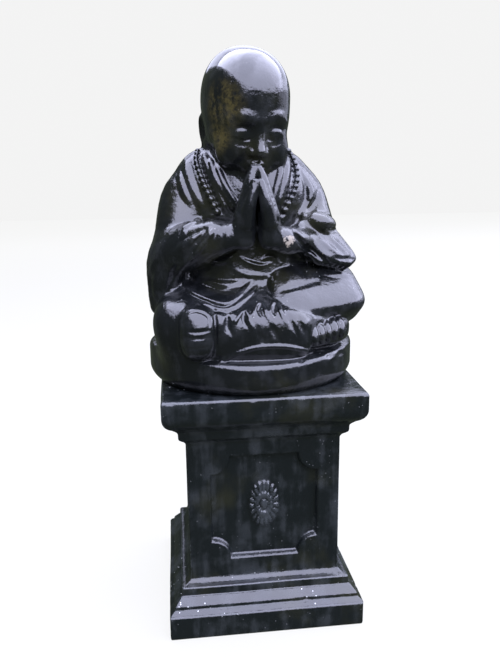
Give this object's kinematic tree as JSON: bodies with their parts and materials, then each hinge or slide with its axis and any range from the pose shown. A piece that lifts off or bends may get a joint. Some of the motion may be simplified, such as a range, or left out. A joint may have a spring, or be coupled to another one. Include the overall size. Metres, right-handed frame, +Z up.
{
  "type": "seated monk statue on a plinth",
  "caption": "Child monk seated cross-legged on a round cushion, palms joined and eyes closed, on a square panelled garden plinth.",
  "frame": {"origin": "centre of the plinth's underside", "axes": "+Z up, -Y out of the figure's front, +X to a viewer's right who faces the front"},
  "size_m": [0.3339, 0.3, 0.8692],
  "materials": {
    "figure": "cast stone painted gloss black, worn on its edges",
    "plinth": "cast stone painted gloss black, weathered"
  },
  "bodies": {
    "root": {"figure": "figure", "plinth": "plinth"}
  },
  "joints": []
}
